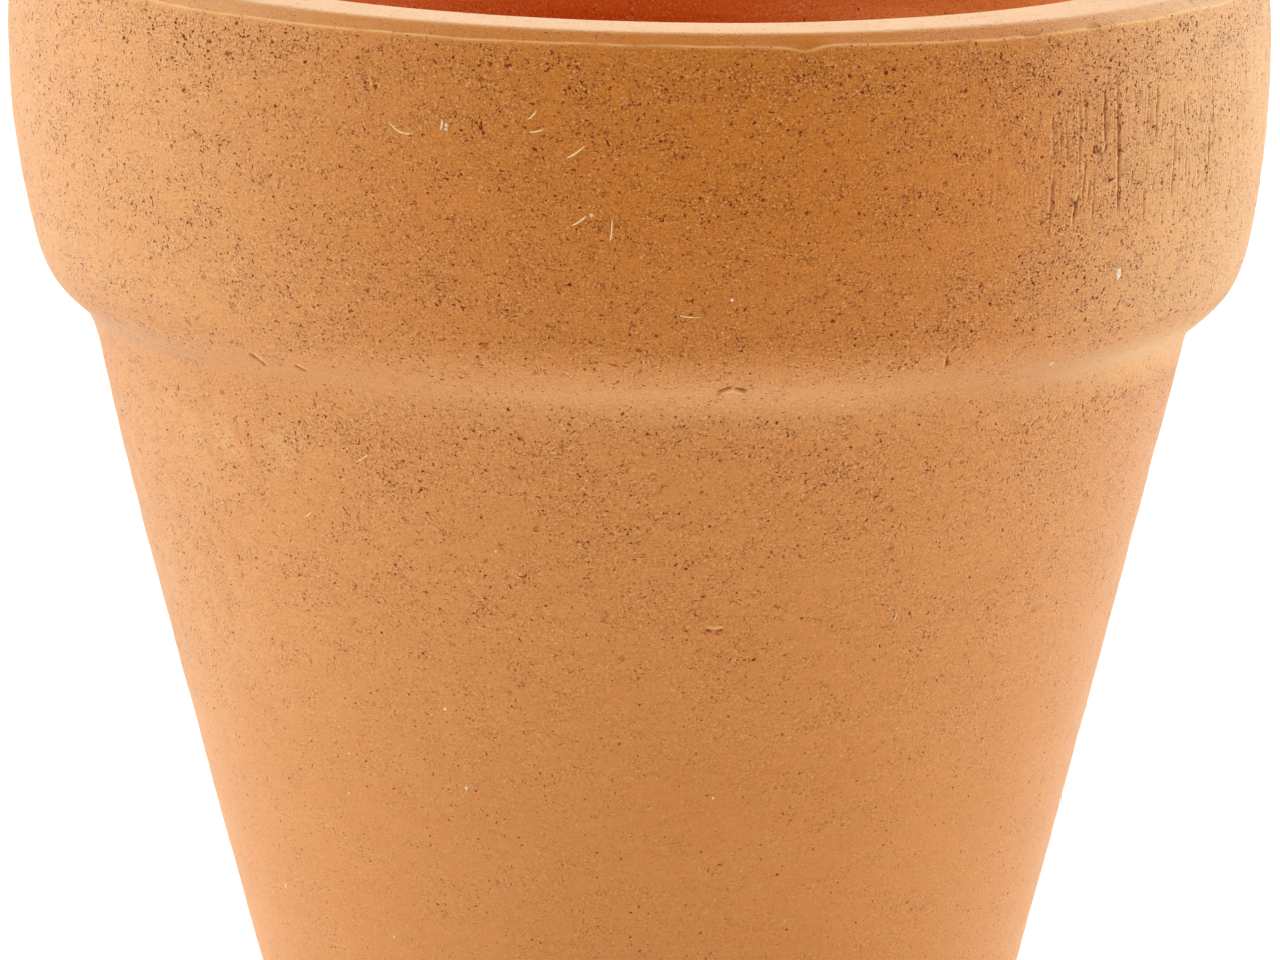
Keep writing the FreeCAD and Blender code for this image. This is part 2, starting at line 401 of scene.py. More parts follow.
class Clay:
    """The surface with this pot's own relief, and how each spot of it looks."""

    def __init__(self):
        self.surface = Surface()
        self.nominal = self.surface.points()
        self.rows = self.surface.rows[:, None] + 0 * self.surface.radius
        self.angles = self.surface.angles[None, :] + 0 * self.surface.radius
        self.noises = [Noise(SEED + k) for k in range(NOISE_COUNT)]
        self.weigh_stretches()
        self.open_grain()
        self.tint()
        self.relief = self.unevenness()
        self.groove = np.zeros_like(self.relief)
        self.burr = np.zeros_like(self.relief)
        for mark in MARKS + scuffs() + drag_lines():
            self.cut(mark)
        self.edge_lip()
        self.chip_lip()
        self.points = self.settle(self.surface.points(self.relief))

    def beam(self, azimuth, reach):
        """A smooth upright band of the pot, 1 at an azimuth; both values are in degrees."""
        return bump(self.angles, math.radians(azimuth), math.radians(reach))

    def weigh_stretches(self):
        """How far each spot belongs to the outside, the inside, the collar and so on.

        within is the whole inside; inner is painted shade on the inside, a deep red, which weakens to
        the right where light falls.
        """
        starts, rows = self.surface.starts, self.rows
        self.outer = band(rows, starts["body"], starts["lip"], 0.5)
        self.within = ramp(rows, starts["inside"] - 0.5, starts["inside"] + 1)
        # Painted shade inside the pot, weaker on the right where light falls.
        self.inner = self.within * (1 - 0.7 * ramp(self.nominal[..., 0], -5, 32))
        self.collar = ramp(rows, starts["corner"] + 2, starts["face"] + 1)
        self.underside = (starts["underside"] + starts["corner"]) / 2
        self.stripe = bump(rows, self.underside, 2.2)
        combed = band(self.angles, *COMBED, math.radians(5)) * band(self.surface.height, 80, 92, 1.5)
        patches = 0.5 + 0.5 * self.noises[2](self.nominal, 5, 5, 12)
        self.combed = combed * np.clip(0.3 + patches, 0, 1) * self.outer

    def open_grain(self):
        """How open the grain is: open on the collar and below the crease, closed near the foot."""
        starts, rows, height, collar = self.surface.starts, self.rows, self.surface.height, self.collar
        open_body = 0.42 + 0.33 * ramp(height, 22, 52) + 0.2 * ramp(height, 50, 62)
        grit = (open_body + (1.0 - open_body) * collar) * (1 - 0.35 * self.stripe)
        patches = self.noises[0](self.nominal, 9, 9, 4.5) + 0.6 * self.noises[1](self.nominal, 4, 4, 2)
        grit = grit * (1 + 0.24 * patches) + 0.3 * band(height, HEIGHT - 6, HEIGHT - 2, 1.0) * collar
        grit = grit * (1 - 0.5 * band(rows, starts["bevel"] - 0.3, starts["inside"], 0.4))
        grit = np.clip(grit + 0.25 * self.beam(55, 16) * collar, 0.08, 1.6)
        self.grit = grit * self.outer + 0.55 * (1 - self.outer)

    def tint(self):
        """Where the clay has dust and painted sheen, where light and shade are painted on it, and where
        painted shade makes it darker and richer.

        The painted sheen of either side runs on round the back, and the two meet at 180 degrees in a
        hard edge.
        """
        height, collar, stripe = self.surface.height, self.collar, self.stripe
        smear = self.beam(-49, 7) * bump(height, 58.5, 1.8)
        low = 0.55 * self.beam(-62, 9) * bump(height, 46, 9)
        flecks = self.noises[3](self.nominal, 2.5, 2.5, 5) + self.noises[4](self.nominal, 0.9, 0.9, 1.6)
        # Painted sheen: the collar, and on the right the stripe too, whitened towards the sides where
        # light grazes them.
        painted_sheen = 0.3 * ramp(-self.angles, math.radians(20), math.radians(50)) * collar \
            + ramp(self.angles, math.radians(34), math.radians(60)) * (0.75 * collar + stripe)
        self.dust_and_sheen = np.clip((smear + low) * (0.4 + 0.5 * flecks) + painted_sheen, 0, 1) * self.outer
        # Painted light and shade: the stripe lighter at the front and at 69 degrees and darker at 46
        # degrees, the collar darker at the front and lighter at the sides, and the lowest body a little
        # lighter.
        front, middle = self.beam(8, 22), self.beam(10, 34)
        right, glow = self.beam(46, 12), self.beam(69, 9)
        self.painted_light_and_shade = stripe * (0.4 * front - 0.03 - 0.18 * right + 0.5 * glow) \
            + (0.1 - 0.34 * middle) * collar * self.outer + 0.05 * (1 - ramp(height, 8, 30))
        # Painted shade: the front of the collar and the whole inside darker and richer, less so on the
        # stripe.
        upper = 0.5 + 0.5 * ramp(height, 70, 84)
        self.painted_shade = middle * (0.5 + 0.5 * collar * upper) * (1 - 0.8 * stripe) * self.outer + self.within

    def unevenness(self):
        """The relief before any mark, in millimetres outwards.

        It has turning lines, slow waves, lumps, the burr under the bevel and the torn hole.
        """
        noises, nominal = self.noises, self.nominal
        starts, rows = self.surface.starts, self.rows
        turning = 0.030 * noises[1](nominal, 45, 45, 1.3) + 0.045 * noises[2](nominal, 60, 60, 4.2)
        waves = 0.10 * noises[3](nominal, 24, 24, 18) + 0.035 * noises[4](nominal, 9, 9, 6)
        lumps = 0.016 * noises[5](nominal, 2.4, 2.4, 1.8) + 0.014 * noises[6](nominal, 1.1, 1.1, 1.0)
        outer = turning + waves + lumps * (0.5 + self.grit)
        spiral = np.sin(TAU * self.surface.height / 4.3 + self.angles + noises[4](nominal, 30, 30, 20))
        inner = 0.07 * spiral + 0.06 * noises[2](nominal, 60, 60, 2.2) + 2 * lumps + 0.8 * waves
        stripe = bump(rows, self.underside, 2.6)
        ledge = noises[7](nominal, 7, 7, 3.0)
        relief = outer * self.outer + inner * self.within + 0.06 * stripe * ledge * self.outer
        rim = starts["bevel"]
        burr_height = 0.09 + 0.06 * noises[6](nominal, 3, 3, 3)
        relief = relief + burr_height * bump(rows, rim - 0.05, 0.11)
        relief = relief + 0.05 * noises[5](nominal, 14, 14, 14) * band(rows, rim, starts["inside"], 0.4)
        inner_edge = ramp(rows, starts["inside"] - 1.8, starts["inside"] - 0.2)
        relief = relief - 0.09 * inner_edge * band(rows, rim, starts["inside"] + 1.0, 0.5)
        torn = 0.10 * np.abs(noises[6](nominal, 1.6, 1.6, 1.6)) + 0.08 * noises[4](nominal, 4, 4, 4)
        hole = np.minimum(np.abs(rows - starts["hole"]), np.abs(rows - starts["end"]))
        hole = np.minimum(hole, rows)
        relief = relief + torn * np.exp(-(hole / 0.9) ** 2)
        foot = band(rows, 2, starts["body"] - 1.5, 1.0)
        stood_on = 0.05 * noises[5](nominal, 6, 6, 6) + 0.02 * noises[6](nominal, 1.5, 1.5, 1.5)
        return relief + foot * stood_on

    def edge_lip(self):
        """Painted highlights on the lip's inner edge and on the burr under the bevel, and a lighter lip
        top.
        """
        starts, rows = self.surface.starts, self.rows
        ragged = 0.95 + 0.5 * self.noises[6](self.nominal, 1.8, 1.8, 1.8)
        # Painted highlight on the burr under the bevel.
        burr = band(rows, starts["bevel"] - 0.16, starts["bevel"] + 0.04, 0.06) * np.clip(ragged, 0, 1)
        self.burr = np.maximum(self.burr, burr)
        inner_edge = band(rows, starts["inside"] - 0.7, starts["inside"] + 0.1, 0.25)
        flat = band(rows, starts["lip"] - 0.2, starts["inside"], 0.3)
        # Painted highlight along the lip's inner edge.
        self.painted_light_and_shade = self.painted_light_and_shade + 0.45 * inner_edge
        self.dust_and_sheen = np.maximum(self.dust_and_sheen, 0.8 * flat)

    def window(self, azimuth, height, across, along):
        """The part of the grid round a spot, and how far each of its points is from the spot."""
        place = self.surface.place_at(height)
        radius = np.interp(height, self.surface.outside[1],
                           np.interp(self.surface.outside[0], self.surface.even,
                                     self.surface.crisp[:, 0]))
        turn = turn_from(self.surface.angles, azimuth)
        columns = np.flatnonzero(np.abs(turn) * radius < across)
        rows = np.flatnonzero(np.abs(self.surface.rows - place) < along)
        part = np.ix_(rows, columns)
        beside = turn[columns][None, :] * radius + 0 * self.surface.rows[rows][:, None]
        above = self.surface.rows[rows][:, None] - place + 0 * beside
        return part, beside, above

    def cut(self, mark):
        """Cuts a groove into the relief, with painted shade inside it and a painted highlight on its
        burr.
        """
        across, along = mark.spread()
        part, beside, above = self.window(mark.azimuth, mark.height, across + 0.8, along + 0.8)
        along = beside * math.cos(mark.heading) + above * math.sin(mark.heading)
        across = above * math.cos(mark.heading) - beside * math.sin(mark.heading)
        half = mark.length / 2
        wander = 0.06 * self.noises[7](self.nominal[part], 0.9, 0.9, 0.9) \
            + 0.05 * self.noises[5](self.nominal[part], 0.3, 0.3, 0.3)
        across = across - mark.bend * (1 - (along / half) ** 2) + wander
        ends = 1 - ramp(np.abs(along), half * 0.7, half)
        broken = np.clip(0.85 + 0.8 * self.noises[6](self.nominal[part], 0.5, 0.5, 0.5), 0, 1)
        inside = np.exp(-(across / mark.width) ** 4) * ends * broken
        pushed = np.exp(-((across - 1.9 * mark.width) / (0.9 * mark.width)) ** 2) * ends
        self.relief[part] += mark.burr * pushed - mark.depth * inside
        # How strong the groove's painted shade and its burr's painted highlight are.
        strength = min(1.0, mark.depth / 0.1)
        self.groove[part] = np.maximum(self.groove[part], inside * strength)
        self.burr[part] = np.maximum(self.burr[part], pushed * min(1.0, mark.burr / 0.05))

    def chip_lip(self):
        """Small chips knocked off the edges of the lip."""
        random = np.random.default_rng(CHIP_SEED)
        starts = self.surface.starts
        for _ in range(CHIP_COUNT):
            azimuth = random.uniform(-math.pi, math.pi)
            edge = random.choice([starts["bevel"], starts["lip"], starts["inside"]])
            size = random.uniform(0.4, 1.1)
            depth = random.uniform(0.06, 0.2)
            beside = turn_from(self.angles, azimuth) * MOUTH_RADIUS / size
            above = (self.rows - edge) / (0.7 * size)
            wander = 0.4 * self.noises[5](self.nominal, 0.8, 0.8, 0.8)
            inside = 1 - ramp(np.hypot(beside, above) + wander, 0.5, 1.1)
            self.relief = self.relief - depth * inside
            # A little painted shade in each chip.
            self.groove = np.maximum(self.groove, 0.1 * inside)

    def settle(self, points):
        """Tilts the rim, waves its edge and the crease, and fits it all into the CAD model's box."""
        surface, height = self.surface, self.surface.height
        tilt = CREASE_TILT + (LIP_TILT - CREASE_TILT) * ramp(height, HEIGHT - CREASE_DROP, HEIGHT)
        tilt = np.tan(tilt) * ramp(height, HEIGHT - CREASE_DROP - 14, HEIGHT - CREASE_DROP)
        lift = -tilt * points[..., 0]
        edge = bump(self.rows, surface.starts["bevel"], 0.45)
        wave = 0.16 * self.noises[0](self.nominal, 12, 12, 50) \
            + 0.09 * self.noises[1](self.nominal, 3.5, 3.5, 50)
        notch = 0.42 * self.beam(15, 0.9)
        lift = lift + edge * (wave - notch)
        crease = band(self.rows, surface.starts["underside"] - 5, surface.starts["corner"] + 5, 4)
        sag = 0.3 * self.beam(2, 30) + 0.35 * self.beam(-48, 20) - 0.6 * self.beam(95, 25)
        lift = lift + crease * (0.15 * self.noises[2](self.nominal, 30, 30, 50) - sag)
        points[..., 2] += lift
        low, high = points[..., 2].min(), points[..., 2].max()
        points[..., 2] = (points[..., 2] - low) * HEIGHT / (high - low)
        points[..., :2] *= RIM_RADIUS / np.abs(points[..., :2]).max()
        return points

    def spot(self, azimuth, height):
        """The nearest grid point to a spot on the outside.

        Returns it with the directions round the pot, up its side and out of it.
        """
        row = int(np.argmin(np.abs(self.surface.rows - self.surface.place_at(height))))
        column = int(np.argmin(np.abs(self.surface.angles - azimuth)))
        here = self.points[row, column]
        round_pot = self.points[row, (column + 1) % len(self.surface.angles)] - here
        upwards = self.points[row + 1, column] - here
        round_pot /= np.linalg.norm(round_pot)
        upwards /= np.linalg.norm(upwards)
        return here, round_pot, upwards, np.cross(round_pot, upwards)


class Body:
    """Collects sheets of quads into one mesh.

    Each sheet has a material, and each vertex has named values for that material to read.
    """

    VALUES = ("grit", "groove", "burr", "combed", "dust_and_sheen", "painted_light_and_shade", "painted_shade", "inner")

    def __init__(self):
        self.vertices, self.faces, self.slots = [], [], []
        self.values = {name: [] for name in self.VALUES}
        self.count = 0

    def add_grid(self, points, slot, values=None, closed_rows=True):
        """A sheet of quads from points[row, column], closed round its columns and maybe its rows."""
        rows, columns = points.shape[:2]
        index = np.arange(rows * columns).reshape(rows, columns) + self.count
        above = np.roll(index, -1, axis=0)
        beside = np.roll(index, -1, axis=1)
        across = np.roll(above, -1, axis=1)
        quads = np.stack([index, beside, across, above], axis=-1)
        if not closed_rows:
            quads = quads[:-1]
        quads = quads.reshape(-1, 4)
        self.vertices.append(points.reshape(-1, 3))
        self.faces.append(quads)
        self.slots.append(np.full(len(quads), slot))
        for name in self.VALUES:
            layer = np.zeros((rows, columns)) if values is None else values[name]
            self.values[name].append(layer.ravel())
        self.count += rows * columns

    def make(self, name):
        """Makes the mesh."""
        vertices = np.concatenate(self.vertices) * MM
        quads = np.concatenate(self.faces).astype(np.int32)
        mesh = bpy.data.meshes.new(name)
        mesh.vertices.add(len(vertices))
        mesh.vertices.foreach_set("co", vertices.astype(np.float32).ravel())
        mesh.loops.add(quads.size)
        mesh.loops.foreach_set("vertex_index", quads.ravel())
        mesh.polygons.add(len(quads))
        mesh.polygons.foreach_set("loop_start", np.arange(0, quads.size, 4, dtype=np.int32))
        mesh.update(calc_edges=True)
        for value, layers in self.values.items():
            layer = mesh.attributes.new(value, "FLOAT", "POINT")
            layer.data.foreach_set("value", np.concatenate(layers).astype(np.float32))
        mesh.polygons.foreach_set("material_index", np.concatenate(self.slots).astype(np.int32))
        mesh.shade_smooth()
        return mesh


CLAY_SLOT, STRAW_SLOT, LIME_SLOT = 0, 1, 2


def add_fibre(body, clay, azimuth, height, length, heading, bend, width=0.14):
    """A bit of straw fired into the skin: a thin curved sliver, half sunk, narrow at its ends.

    Each end is left open by a hole of at most a few hundredths of a millimetre.
    """
    here, round_pot, upwards, outward = clay.spot(math.radians(azimuth), height)
    heading = math.radians(heading)
    along = np.linspace(-1, 1, 13)[:, None]
    forward = round_pot * math.cos(heading) + upwards * math.sin(heading)
    sideways = upwards * math.cos(heading) - round_pot * math.sin(heading)
    centre = here + forward * along * length / 2 + sideways * bend * (along ** 2 - 0.4)
    radius = np.hypot(centre[:, 0], centre[:, 1])
    drop = (radius - radius.mean())[:, None]
    centre = centre - outward * drop - outward * 0.01
    around = np.linspace(0, TAU, 6, endpoint=False)
    fatness = np.sqrt(np.clip(1.02 - along ** 2, 0, 1)) * width / 2
    ring = (np.cos(around)[None, :, None] * sideways + 0.6 * np.sin(around)[None, :, None] * outward)
    points = centre[:, None, :] + fatness[:, :, None] * ring
    body.add_grid(points, STRAW_SLOT, closed_rows=False)


def add_lime(body, clay, azimuth, height, size, stretch):
    """A grain of lime showing in the skin: a small lumpy pebble, partly sunk.

    Its two poles are left open by a hole of at most a few hundredths of a millimetre.
    """
    here, round_pot, upwards, outward = clay.spot(math.radians(azimuth), height)
    polar = np.linspace(0.04, math.pi - 0.04, 9)[:, None]
    around = np.linspace(0, TAU, 12, endpoint=False)[None, :]
    lump = 1 + 0.18 * np.sin(3 * around + 5 * polar) + 0.1 * np.sin(5 * around - 3 * polar)
    lump = 1 + (lump - 1) * np.sin(polar)
    unit = [np.sin(polar) * np.cos(around), np.sin(polar) * np.sin(around), np.cos(polar) + 0 * around]
    offset = (unit[0] * lump)[..., None] * round_pot * size / 2 \
        + (unit[1] * lump)[..., None] * upwards * size * stretch / 2 \
        + (unit[2] * lump)[..., None] * outward * size / 4
    body.add_grid(here - outward * size * 0.12 + offset, LIME_SLOT, closed_rows=False)


def scatter_inclusions(body, clay):
    """Straw and lime in the clay.

    Some are placed one by one on the front. The rest of the straw is scattered over the sides and
    back, and the rest of the lime all round.
    """
    add_fibre(body, clay, -21.9, 88.6, 2.6, -22, 0.45, 0.2)
    add_fibre(body, clay, -17.8, 89.2, 1.0, 80, 0.1, 0.22)
    add_fibre(body, clay, -5.4, 81.6, 2.2, 40, 0.15, 0.17)
    add_fibre(body, clay, -2.8, 81.3, 3.2, 91, 0.25, 0.17)
    add_fibre(body, clay, -5.6, 87.4, 2.1, 36, 0.1, 0.18)
    add_fibre(body, clay, -9.6, 90.5, 1.1, 48, 0.1, 0.16)
    add_fibre(body, clay, -9.2, 89.1, 1.5, 16, 0.1, 0.16)
    add_lime(body, clay, -4.5, 82.2, 0.34, 1.2)
    add_lime(body, clay, -17.6, 89.1, 0.3, 1.5)
    add_fibre(body, clay, 4.3, 73.0, 2.3, -6, 0.12)
    add_fibre(body, clay, 31.0, 44.0, 1.2, 75, 0.1)
    add_lime(body, clay, 50.2, 74.6, 0.8, 1.6)
    add_lime(body, clay, 44.5, 66.7, 0.4, 1.8)
    random = np.random.default_rng(BITS_SEED)
    for _ in range(STRAW_COUNT):
        azimuth, height = random.uniform(75, 330), random.uniform(8, 92)
        azimuth = azimuth - 360 if azimuth > 180 else azimuth
        add_fibre(body, clay, azimuth, height, random.uniform(0.8, 2.4), random.uniform(-90, 90),
                  random.uniform(-0.3, 0.3), random.uniform(0.1, 0.15))
    for _ in range(LIME_COUNT):
        azimuth, height = random.uniform(-180, 180), random.uniform(6, 93)
        add_lime(body, clay, azimuth, height, random.uniform(0.16, 0.36), random.uniform(0.7, 1.5))


def make_pot():
    """The pot: its clay, with the straw and lime in it, as one object."""
    clay = Clay()
    body = Body()
    body.add_grid(clay.points, CLAY_SLOT, vars(clay))
    scatter_inclusions(body, clay)
    mesh = body.make("pot_clay")
    pot = bpy.data.objects.new("pot_clay", mesh)
    bpy.context.scene.collection.objects.link(pot)
    for material in (terracotta(), straw(), lime()):
        mesh.materials.append(material)
    return pot


CAMERA_ELEVATION = math.radians(9.5)
CAMERA_DISTANCE = 2.5       # in metres
CAMERA_DROP = 49.0          # how far below the rim it looks, in millimetres
FRAME_WIDTH = 1.0154        # width of the picture at the pot, in rim diameters
SENSOR_WIDTH = 36


def make_camera():
    """A long lens at the viewing angle of the reference, with the rim nearly filling the width."""
    width = FRAME_WIDTH * 2 * RIM_RADIUS * MM
    target = Vector((0, 0, (HEIGHT - CAMERA_DROP) * MM))
    data = bpy.data.cameras.new("camera")
    data.sensor_width = SENSOR_WIDTH
    data.lens = data.sensor_width * CAMERA_DISTANCE / width
    data.clip_start = 0.1
    data.clip_end = 30
    camera = bpy.data.objects.new("camera", data)
    away = Vector((0, -math.cos(CAMERA_ELEVATION), math.sin(CAMERA_ELEVATION)))
    camera.location = target + away * CAMERA_DISTANCE
    camera.rotation_mode = "QUATERNION"
    camera.rotation_quaternion = (-away).to_track_quat("-Z", "Y")
    bpy.context.scene.collection.objects.link(camera)
    bpy.context.scene.camera = camera


class Graph:
    """Adds shader nodes to a tree: each call makes one node and returns its first output."""

    def __init__(self, tree):
        self.tree = tree
        tree.nodes.clear()

    def node(self, kind, *inputs, **settings):
        """Makes a node; inputs are sockets to link or values to set, by place or by name."""
        node = self.tree.nodes.new(kind)
        named = settings.pop("named", {})
        for key, value in settings.items():
            setattr(node, key, value)
        for key, value in list(enumerate(inputs)) + list(named.items()):
            if value is None:
                continue
            if isinstance(value, bpy.types.NodeSocket):
                self.tree.links.new(value, node.inputs[key])
            else:
                node.inputs[key].default_value = value
        return node

    def math(self, operation, first, second=None):
        return self.node("ShaderNodeMath", first, second, operation=operation).outputs[0]

    def add(self, first, second):
        return self.math("ADD", first, second)

    def times(self, first, second):
        return self.math("MULTIPLY", first, second)

    def less(self, first, second):
        return self.math("SUBTRACT", first, second)

    def larger(self, first, second):
        return self.math("MAXIMUM", first, second)

    def clamped(self, value):
        """The value, held between 0 and 1."""
        return self.math("MINIMUM", self.larger(value, 0.0), 1.0)

    def ramp(self, value, low, high, bottom=0.0, top=1.0):
        """Smoothly from bottom to top as the value goes from low to high."""
        return self.node("ShaderNodeMapRange", value, low, high, bottom, top,
                         interpolation_type="SMOOTHSTEP").outputs[0]

    def mix(self, share, first, second):
        """The first colour, with that share of the second."""
        node = self.node("ShaderNodeMix", data_type="RGBA")
        for name, value in (("Factor_Float", share), ("A_Color", first), ("B_Color", second)):
            socket = next(each for each in node.inputs if each.identifier == name)
            if isinstance(value, bpy.types.NodeSocket):
                self.tree.links.new(value, socket)
            else:
                socket.default_value = value
        return next(each for each in node.outputs if each.identifier == "Result_Color")

    def millimetres(self):
        """Place on the object, in millimetres."""
        place = self.node("ShaderNodeTexCoord").outputs["Object"]
        return self.node("ShaderNodeVectorMath", place, (1 / MM,) * 3, operation="MULTIPLY").outputs[0]

    def stretched(self, place, *cell):
        """The place measured in cells of that size."""
        return self.node("ShaderNodeVectorMath", place, tuple(1 / size for size in cell),
                         operation="MULTIPLY").outputs[0]

    def noise(self, place, detail, roughness):
        """Noise about zero, in cells of one unit."""
        value = self.node("ShaderNodeTexNoise", named={
            "Vector": place, "Scale": 1.0, "Detail": detail, "Roughness": roughness}).outputs[0]
        return self.less(value, 0.5)

    def value(self, name):
        """A value carried by the mesh's vertices."""
        return self.node("ShaderNodeAttribute", attribute_name=name).outputs["Fac"]


# Brightness of the studio, as seen from the pot. WHITE is the backdrop, as the camera sees it.
STUDIO_LEFT = 2.7
STUDIO_RIGHT = 2.7
STUDIO_BACK = 1.6
STUDIO_TOP_LEFT = 1.64
STUDIO_TOP_RIGHT = 1.26
TABLE_GLOW = 0.2
WHITE = 1.2


def make_world():
    """A white studio that is dark behind the camera, so the pot's sides are brightest."""
    world = bpy.data.worlds.new("studio")
    bpy.context.scene.world = world
    world.use_nodes = True
    graph = Graph(world.node_tree)
    direction = graph.node("ShaderNodeTexCoord").outputs["Generated"]
    level = graph.node("ShaderNodeVectorMath", direction, (1.0, 1.0, 0.0), operation="MULTIPLY")
    level = graph.node("ShaderNodeVectorMath", level.outputs[0], operation="NORMALIZE").outputs[0]

    def panel(azimuth, brightness, low, high):
        """A soft panel of light towards that azimuth, 0 behind the camera and 90 at +X."""
        azimuth = math.radians(azimuth)
        towards = (math.sin(azimuth), -math.cos(azimuth), 0.0)
        facing = graph.node("ShaderNodeVectorMath", level, towards, operation="DOT_PRODUCT")
        return graph.ramp(facing.outputs["Value"], low, high, 0.0, brightness)

    walls = graph.add(panel(-98, STUDIO_LEFT, 0.35, 0.95), panel(112, STUDIO_RIGHT, 0.35, 0.85))
    walls = graph.add(walls, panel(180, STUDIO_BACK, 0.5, 0.95))
    ceiling = graph.add(panel(-90, STUDIO_TOP_LEFT, 0.4, 1.0), panel(90, STUDIO_TOP_RIGHT, 0.4, 1.0))
    rise = graph.node("ShaderNodeSeparateXYZ", direction).outputs[2]
    overhead = graph.ramp(rise, 0.42, 0.86)
    light = graph.add(graph.times(ceiling, overhead), graph.times(walls, graph.less(1.0, overhead)))
    seen = graph.node("ShaderNodeLightPath").outputs["Is Camera Ray"]
    strength = graph.node("ShaderNodeMapRange", seen, 0.0, 1.0, light, WHITE).outputs[0]
    background = graph.node("ShaderNodeBackground", (1.0, 1.0, 1.0, 1.0), strength)
    graph.node("ShaderNodeOutputWorld", background.outputs[0])


def make_floor():
    """The lit white table that the pot stands on."""
    mesh = bpy.data.meshes.new("floor")
    side = 12.0
    corners = [(-side, -side, 0), (side, -side, 0), (side, side, 0), (-side, side, 0)]
    mesh.from_pydata(corners, [], [(0, 1, 2, 3)])
    floor = bpy.data.objects.new("floor", mesh)
    bpy.context.scene.collection.objects.link(floor)
    material = bpy.data.materials.new("white_table")
    material.use_nodes = True
    graph = Graph(material.node_tree)
    shader = graph.node("ShaderNodeBsdfPrincipled", named={
        "Base Color": (0.82, 0.82, 0.82, 1.0), "Roughness": 0.7, "Specular IOR Level": 0.2,
        "Emission Color": (1.0, 1.0, 1.0, 1.0), "Emission Strength": TABLE_GLOW})
    graph.node("ShaderNodeOutputMaterial", shader.outputs[0])
    mesh.materials.append(material)


CLAY = (0.662, 0.292, 0.0990, 1.0)
CLAY_DARK = (0.345, 0.083, 0.0005, 1.0)
CLAY_LIGHT = (0.900, 0.500, 0.2300, 1.0)
# Painted shade: darker, richer clay for the front and the inside.
CLAY_SHADED = (0.652, 0.206, 0.0220, 1.0)
# Painted shade: deep red for the inside of the pot.
INSIDE_SHADE = (0.780, 0.125, 0.0020, 1.0)
# Painted shade in holes and grooves.
PIT_SHADE = (0.250, 0.022, 0.000, 1.0)
# Light crumbs, and painted highlights on burrs.
CRUMB_AND_HIGHLIGHT = (0.93, 0.52, 0.20, 1.0)
# Dust, and painted sheen on the pot's sides.
DUST_AND_SHEEN = (0.84, 0.55, 0.25, 1.0)
IRON = (0.33, 0.060, 0.004, 1.0)


def pits(graph, place, cell, share, smallest, largest):
    """Round spots in a cell-sized scatter.

    Returns how far inside one each place is, in millimetres, and that spot's luck, 0 to 1.
    """
    scatter = graph.node("ShaderNodeTexVoronoi", graph.stretched(place, cell, cell, cell),
                         named={"Scale": 1.0})
    luck = graph.node("ShaderNodeSeparateColor", scatter.outputs["Color"])
    spare = graph.less(luck.outputs[0], graph.less(1.0, share))
    size = graph.node("ShaderNodeMapRange", spare, 0.0, 0.5, smallest, largest).outputs[0]
    size = graph.times(size, graph.math("GREATER_THAN", spare, 0.0))
    distance = graph.times(scatter.outputs["Distance"], cell)
    return graph.less(size, distance), luck.outputs[1]


def hair_cracks(graph, place, cell, grit):
    """Short thin bent cracks, 1 in their middle: where a noise passes zero, in some patches."""
    level = graph.noise(graph.stretched(place, cell, cell, cell), 1.0, 0.5)
    line = graph.ramp(graph.math("ABSOLUTE", level), 0.028, 0.006)
    patch = graph.noise(graph.stretched(place, 1.3 * cell, 1.3 * cell, cell), 1.0, 0.5)
    return graph.times(line, graph.ramp(graph.add(patch, graph.times(grit, 0.05)), 0.12, 0.2))


def shaken(graph, place):
    """The place moved about a little, so that round spots come out ragged."""
    shake = graph.node("ShaderNodeTexNoise", named={
        "Vector": graph.stretched(place, 0.3, 0.3, 0.3), "Scale": 1.0, "Detail": 1.0})
    shake = graph.node("ShaderNodeVectorMath", shake.outputs["Color"], (-0.5, -0.5, -0.5))
    shake = graph.node("ShaderNodeVectorMath", shake.outputs[0], (0.65, 0.65, 0.65),
                       operation="MULTIPLY")
    return graph.node("ShaderNodeVectorMath", place, shake.outputs[0]).outputs[0]


def holes(graph, place, bent, grit, patches):
    """Pits of two sizes, hair cracks and torn spots: 1 deep inside one, 0 on sound skin."""
    small, small_luck = pits(graph, bent, 0.75, graph.times(grit, 0.4), 0.06, 0.2)
    large, large_luck = pits(graph, bent, 2.3, graph.times(grit, 0.14), 0.16, 0.3)
    small = graph.times(graph.ramp(small, -0.01, 0.035), graph.ramp(small_luck, -0.7, 0.6))
    large = graph.times(graph.ramp(large, -0.01, 0.05), graph.ramp(large_luck, -0.6, 0.6))
    cracks = graph.times(hair_cracks(graph, place, 0.9, grit), graph.ramp(grit, 0.1, 0.9))
    crumbling = graph.noise(graph.stretched(place, 0.32, 0.32, 0.28), 1.5, 0.5)
    torn = graph.add(crumbling, graph.add(graph.times(patches, 0.14), graph.times(grit, 0.08)))
    torn = graph.ramp(torn, 0.238, 0.285)
    return graph.larger(graph.larger(graph.larger(small, large), graph.times(cracks, 0.6)), torn)


